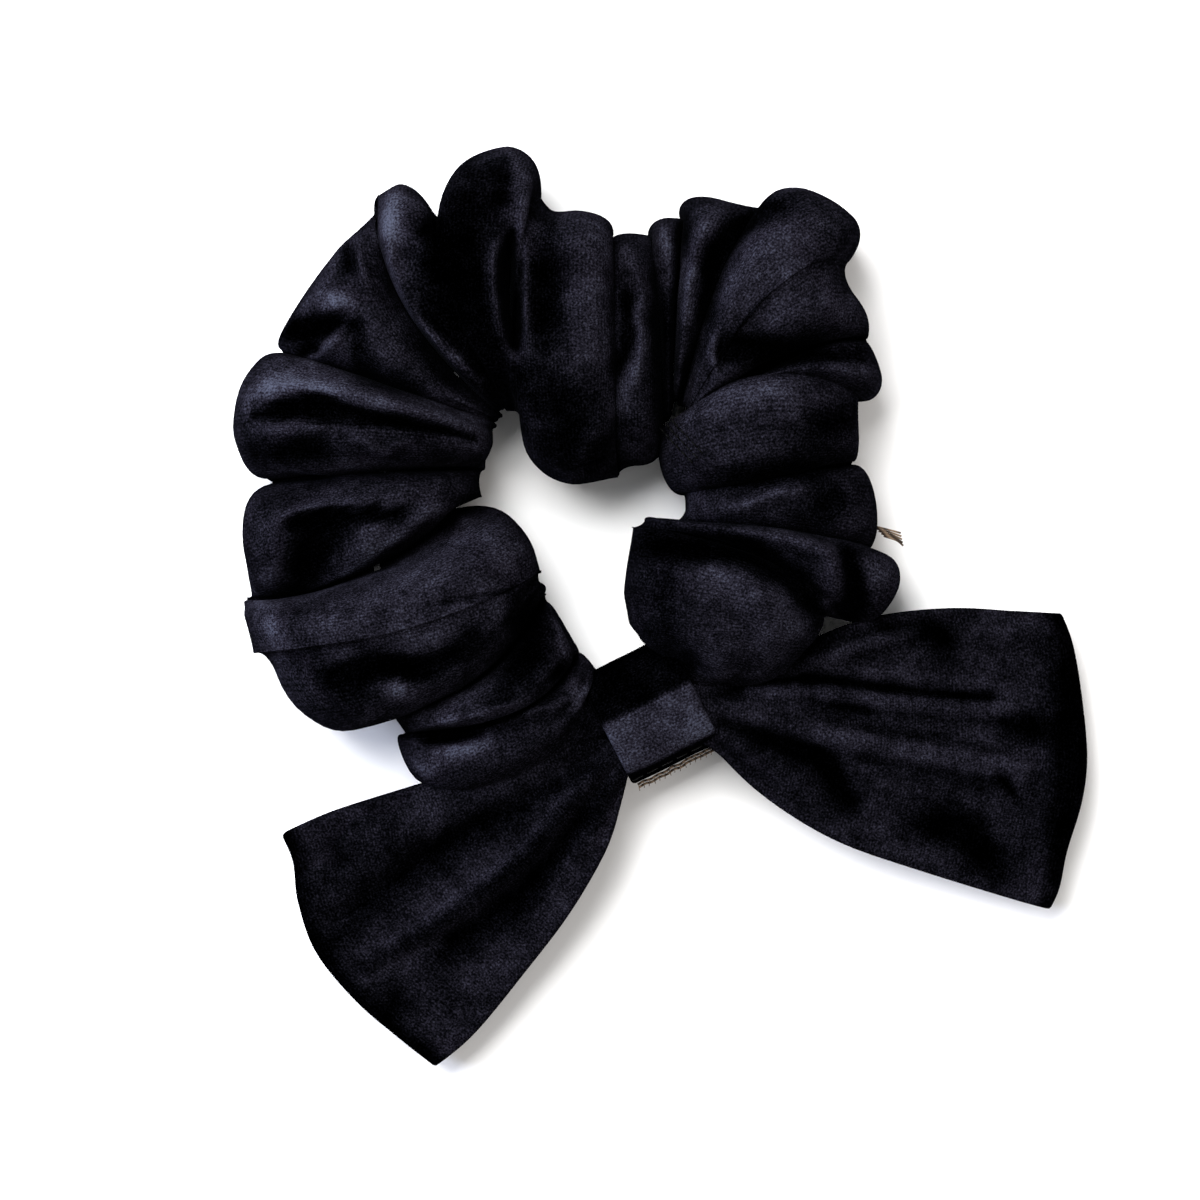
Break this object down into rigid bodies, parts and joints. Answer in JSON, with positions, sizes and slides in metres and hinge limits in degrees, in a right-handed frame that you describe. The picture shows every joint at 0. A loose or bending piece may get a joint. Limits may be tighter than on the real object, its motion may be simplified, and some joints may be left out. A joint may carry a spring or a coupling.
{
  "type": "bow scrunchie",
  "caption": "Gathered black velvet hair scrunchie lying flat, with a pleated two-loop bow tied to its ring by a short wrapped band.",
  "frame": {"origin": "middle of the object's footprint, on the surface it lies on", "axes": "+Z up from that surface; +Y across the ring, away from the bow's end of the object; +X to the right as seen from above with +Y up"},
  "size_m": [0.1374, 0.1464, 0.0309],
  "materials": {
    "velvet": "short dense nap with a soft grey sheen on its crests",
    "thread": "spun polyester sewing thread",
    "elastic": "woven flat elastic"
  },
  "bodies": {
    "ring": {"velvet_cover": "velvet", "cover_long_seam_thread": "thread", "cover_end_seam_thread": "thread", "elastic_band": "elastic", "elastic_join_thread": "thread"},
    "bow_band": {"bow_waist": "velvet", "waist_binding_thread": "thread", "centre_band": "velvet", "centre_band_stitches": "thread"},
    "left_loop": {"bow_left_loop": "velvet"},
    "right_loop": {"bow_right_loop": "velvet"}
  },
  "joints": [
    {"name": "bow_flip", "type": "hinge", "parent": "ring", "child": "bow_band", "pos_m": [-0.00464, -0.01196, 0.0085], "axis": [-0.8934, -0.4493, 0], "range_deg": [-15, 28]},
    {"name": "left_loop_lift", "type": "hinge", "parent": "bow_band", "child": "left_loop", "pos_m": [-0.00817, -0.02451, 0.013], "axis": [-0.4493, 0.8934, 0], "range_deg": [-15, 60], "stiffness_Nm_per_rad": 0.005},
    {"name": "right_loop_lift", "type": "hinge", "parent": "bow_band", "child": "right_loop", "pos_m": [0.00755, -0.01661, 0.013], "axis": [0.4493, -0.8934, 0], "range_deg": [-15, 60], "stiffness_Nm_per_rad": 0.005}
  ]
}
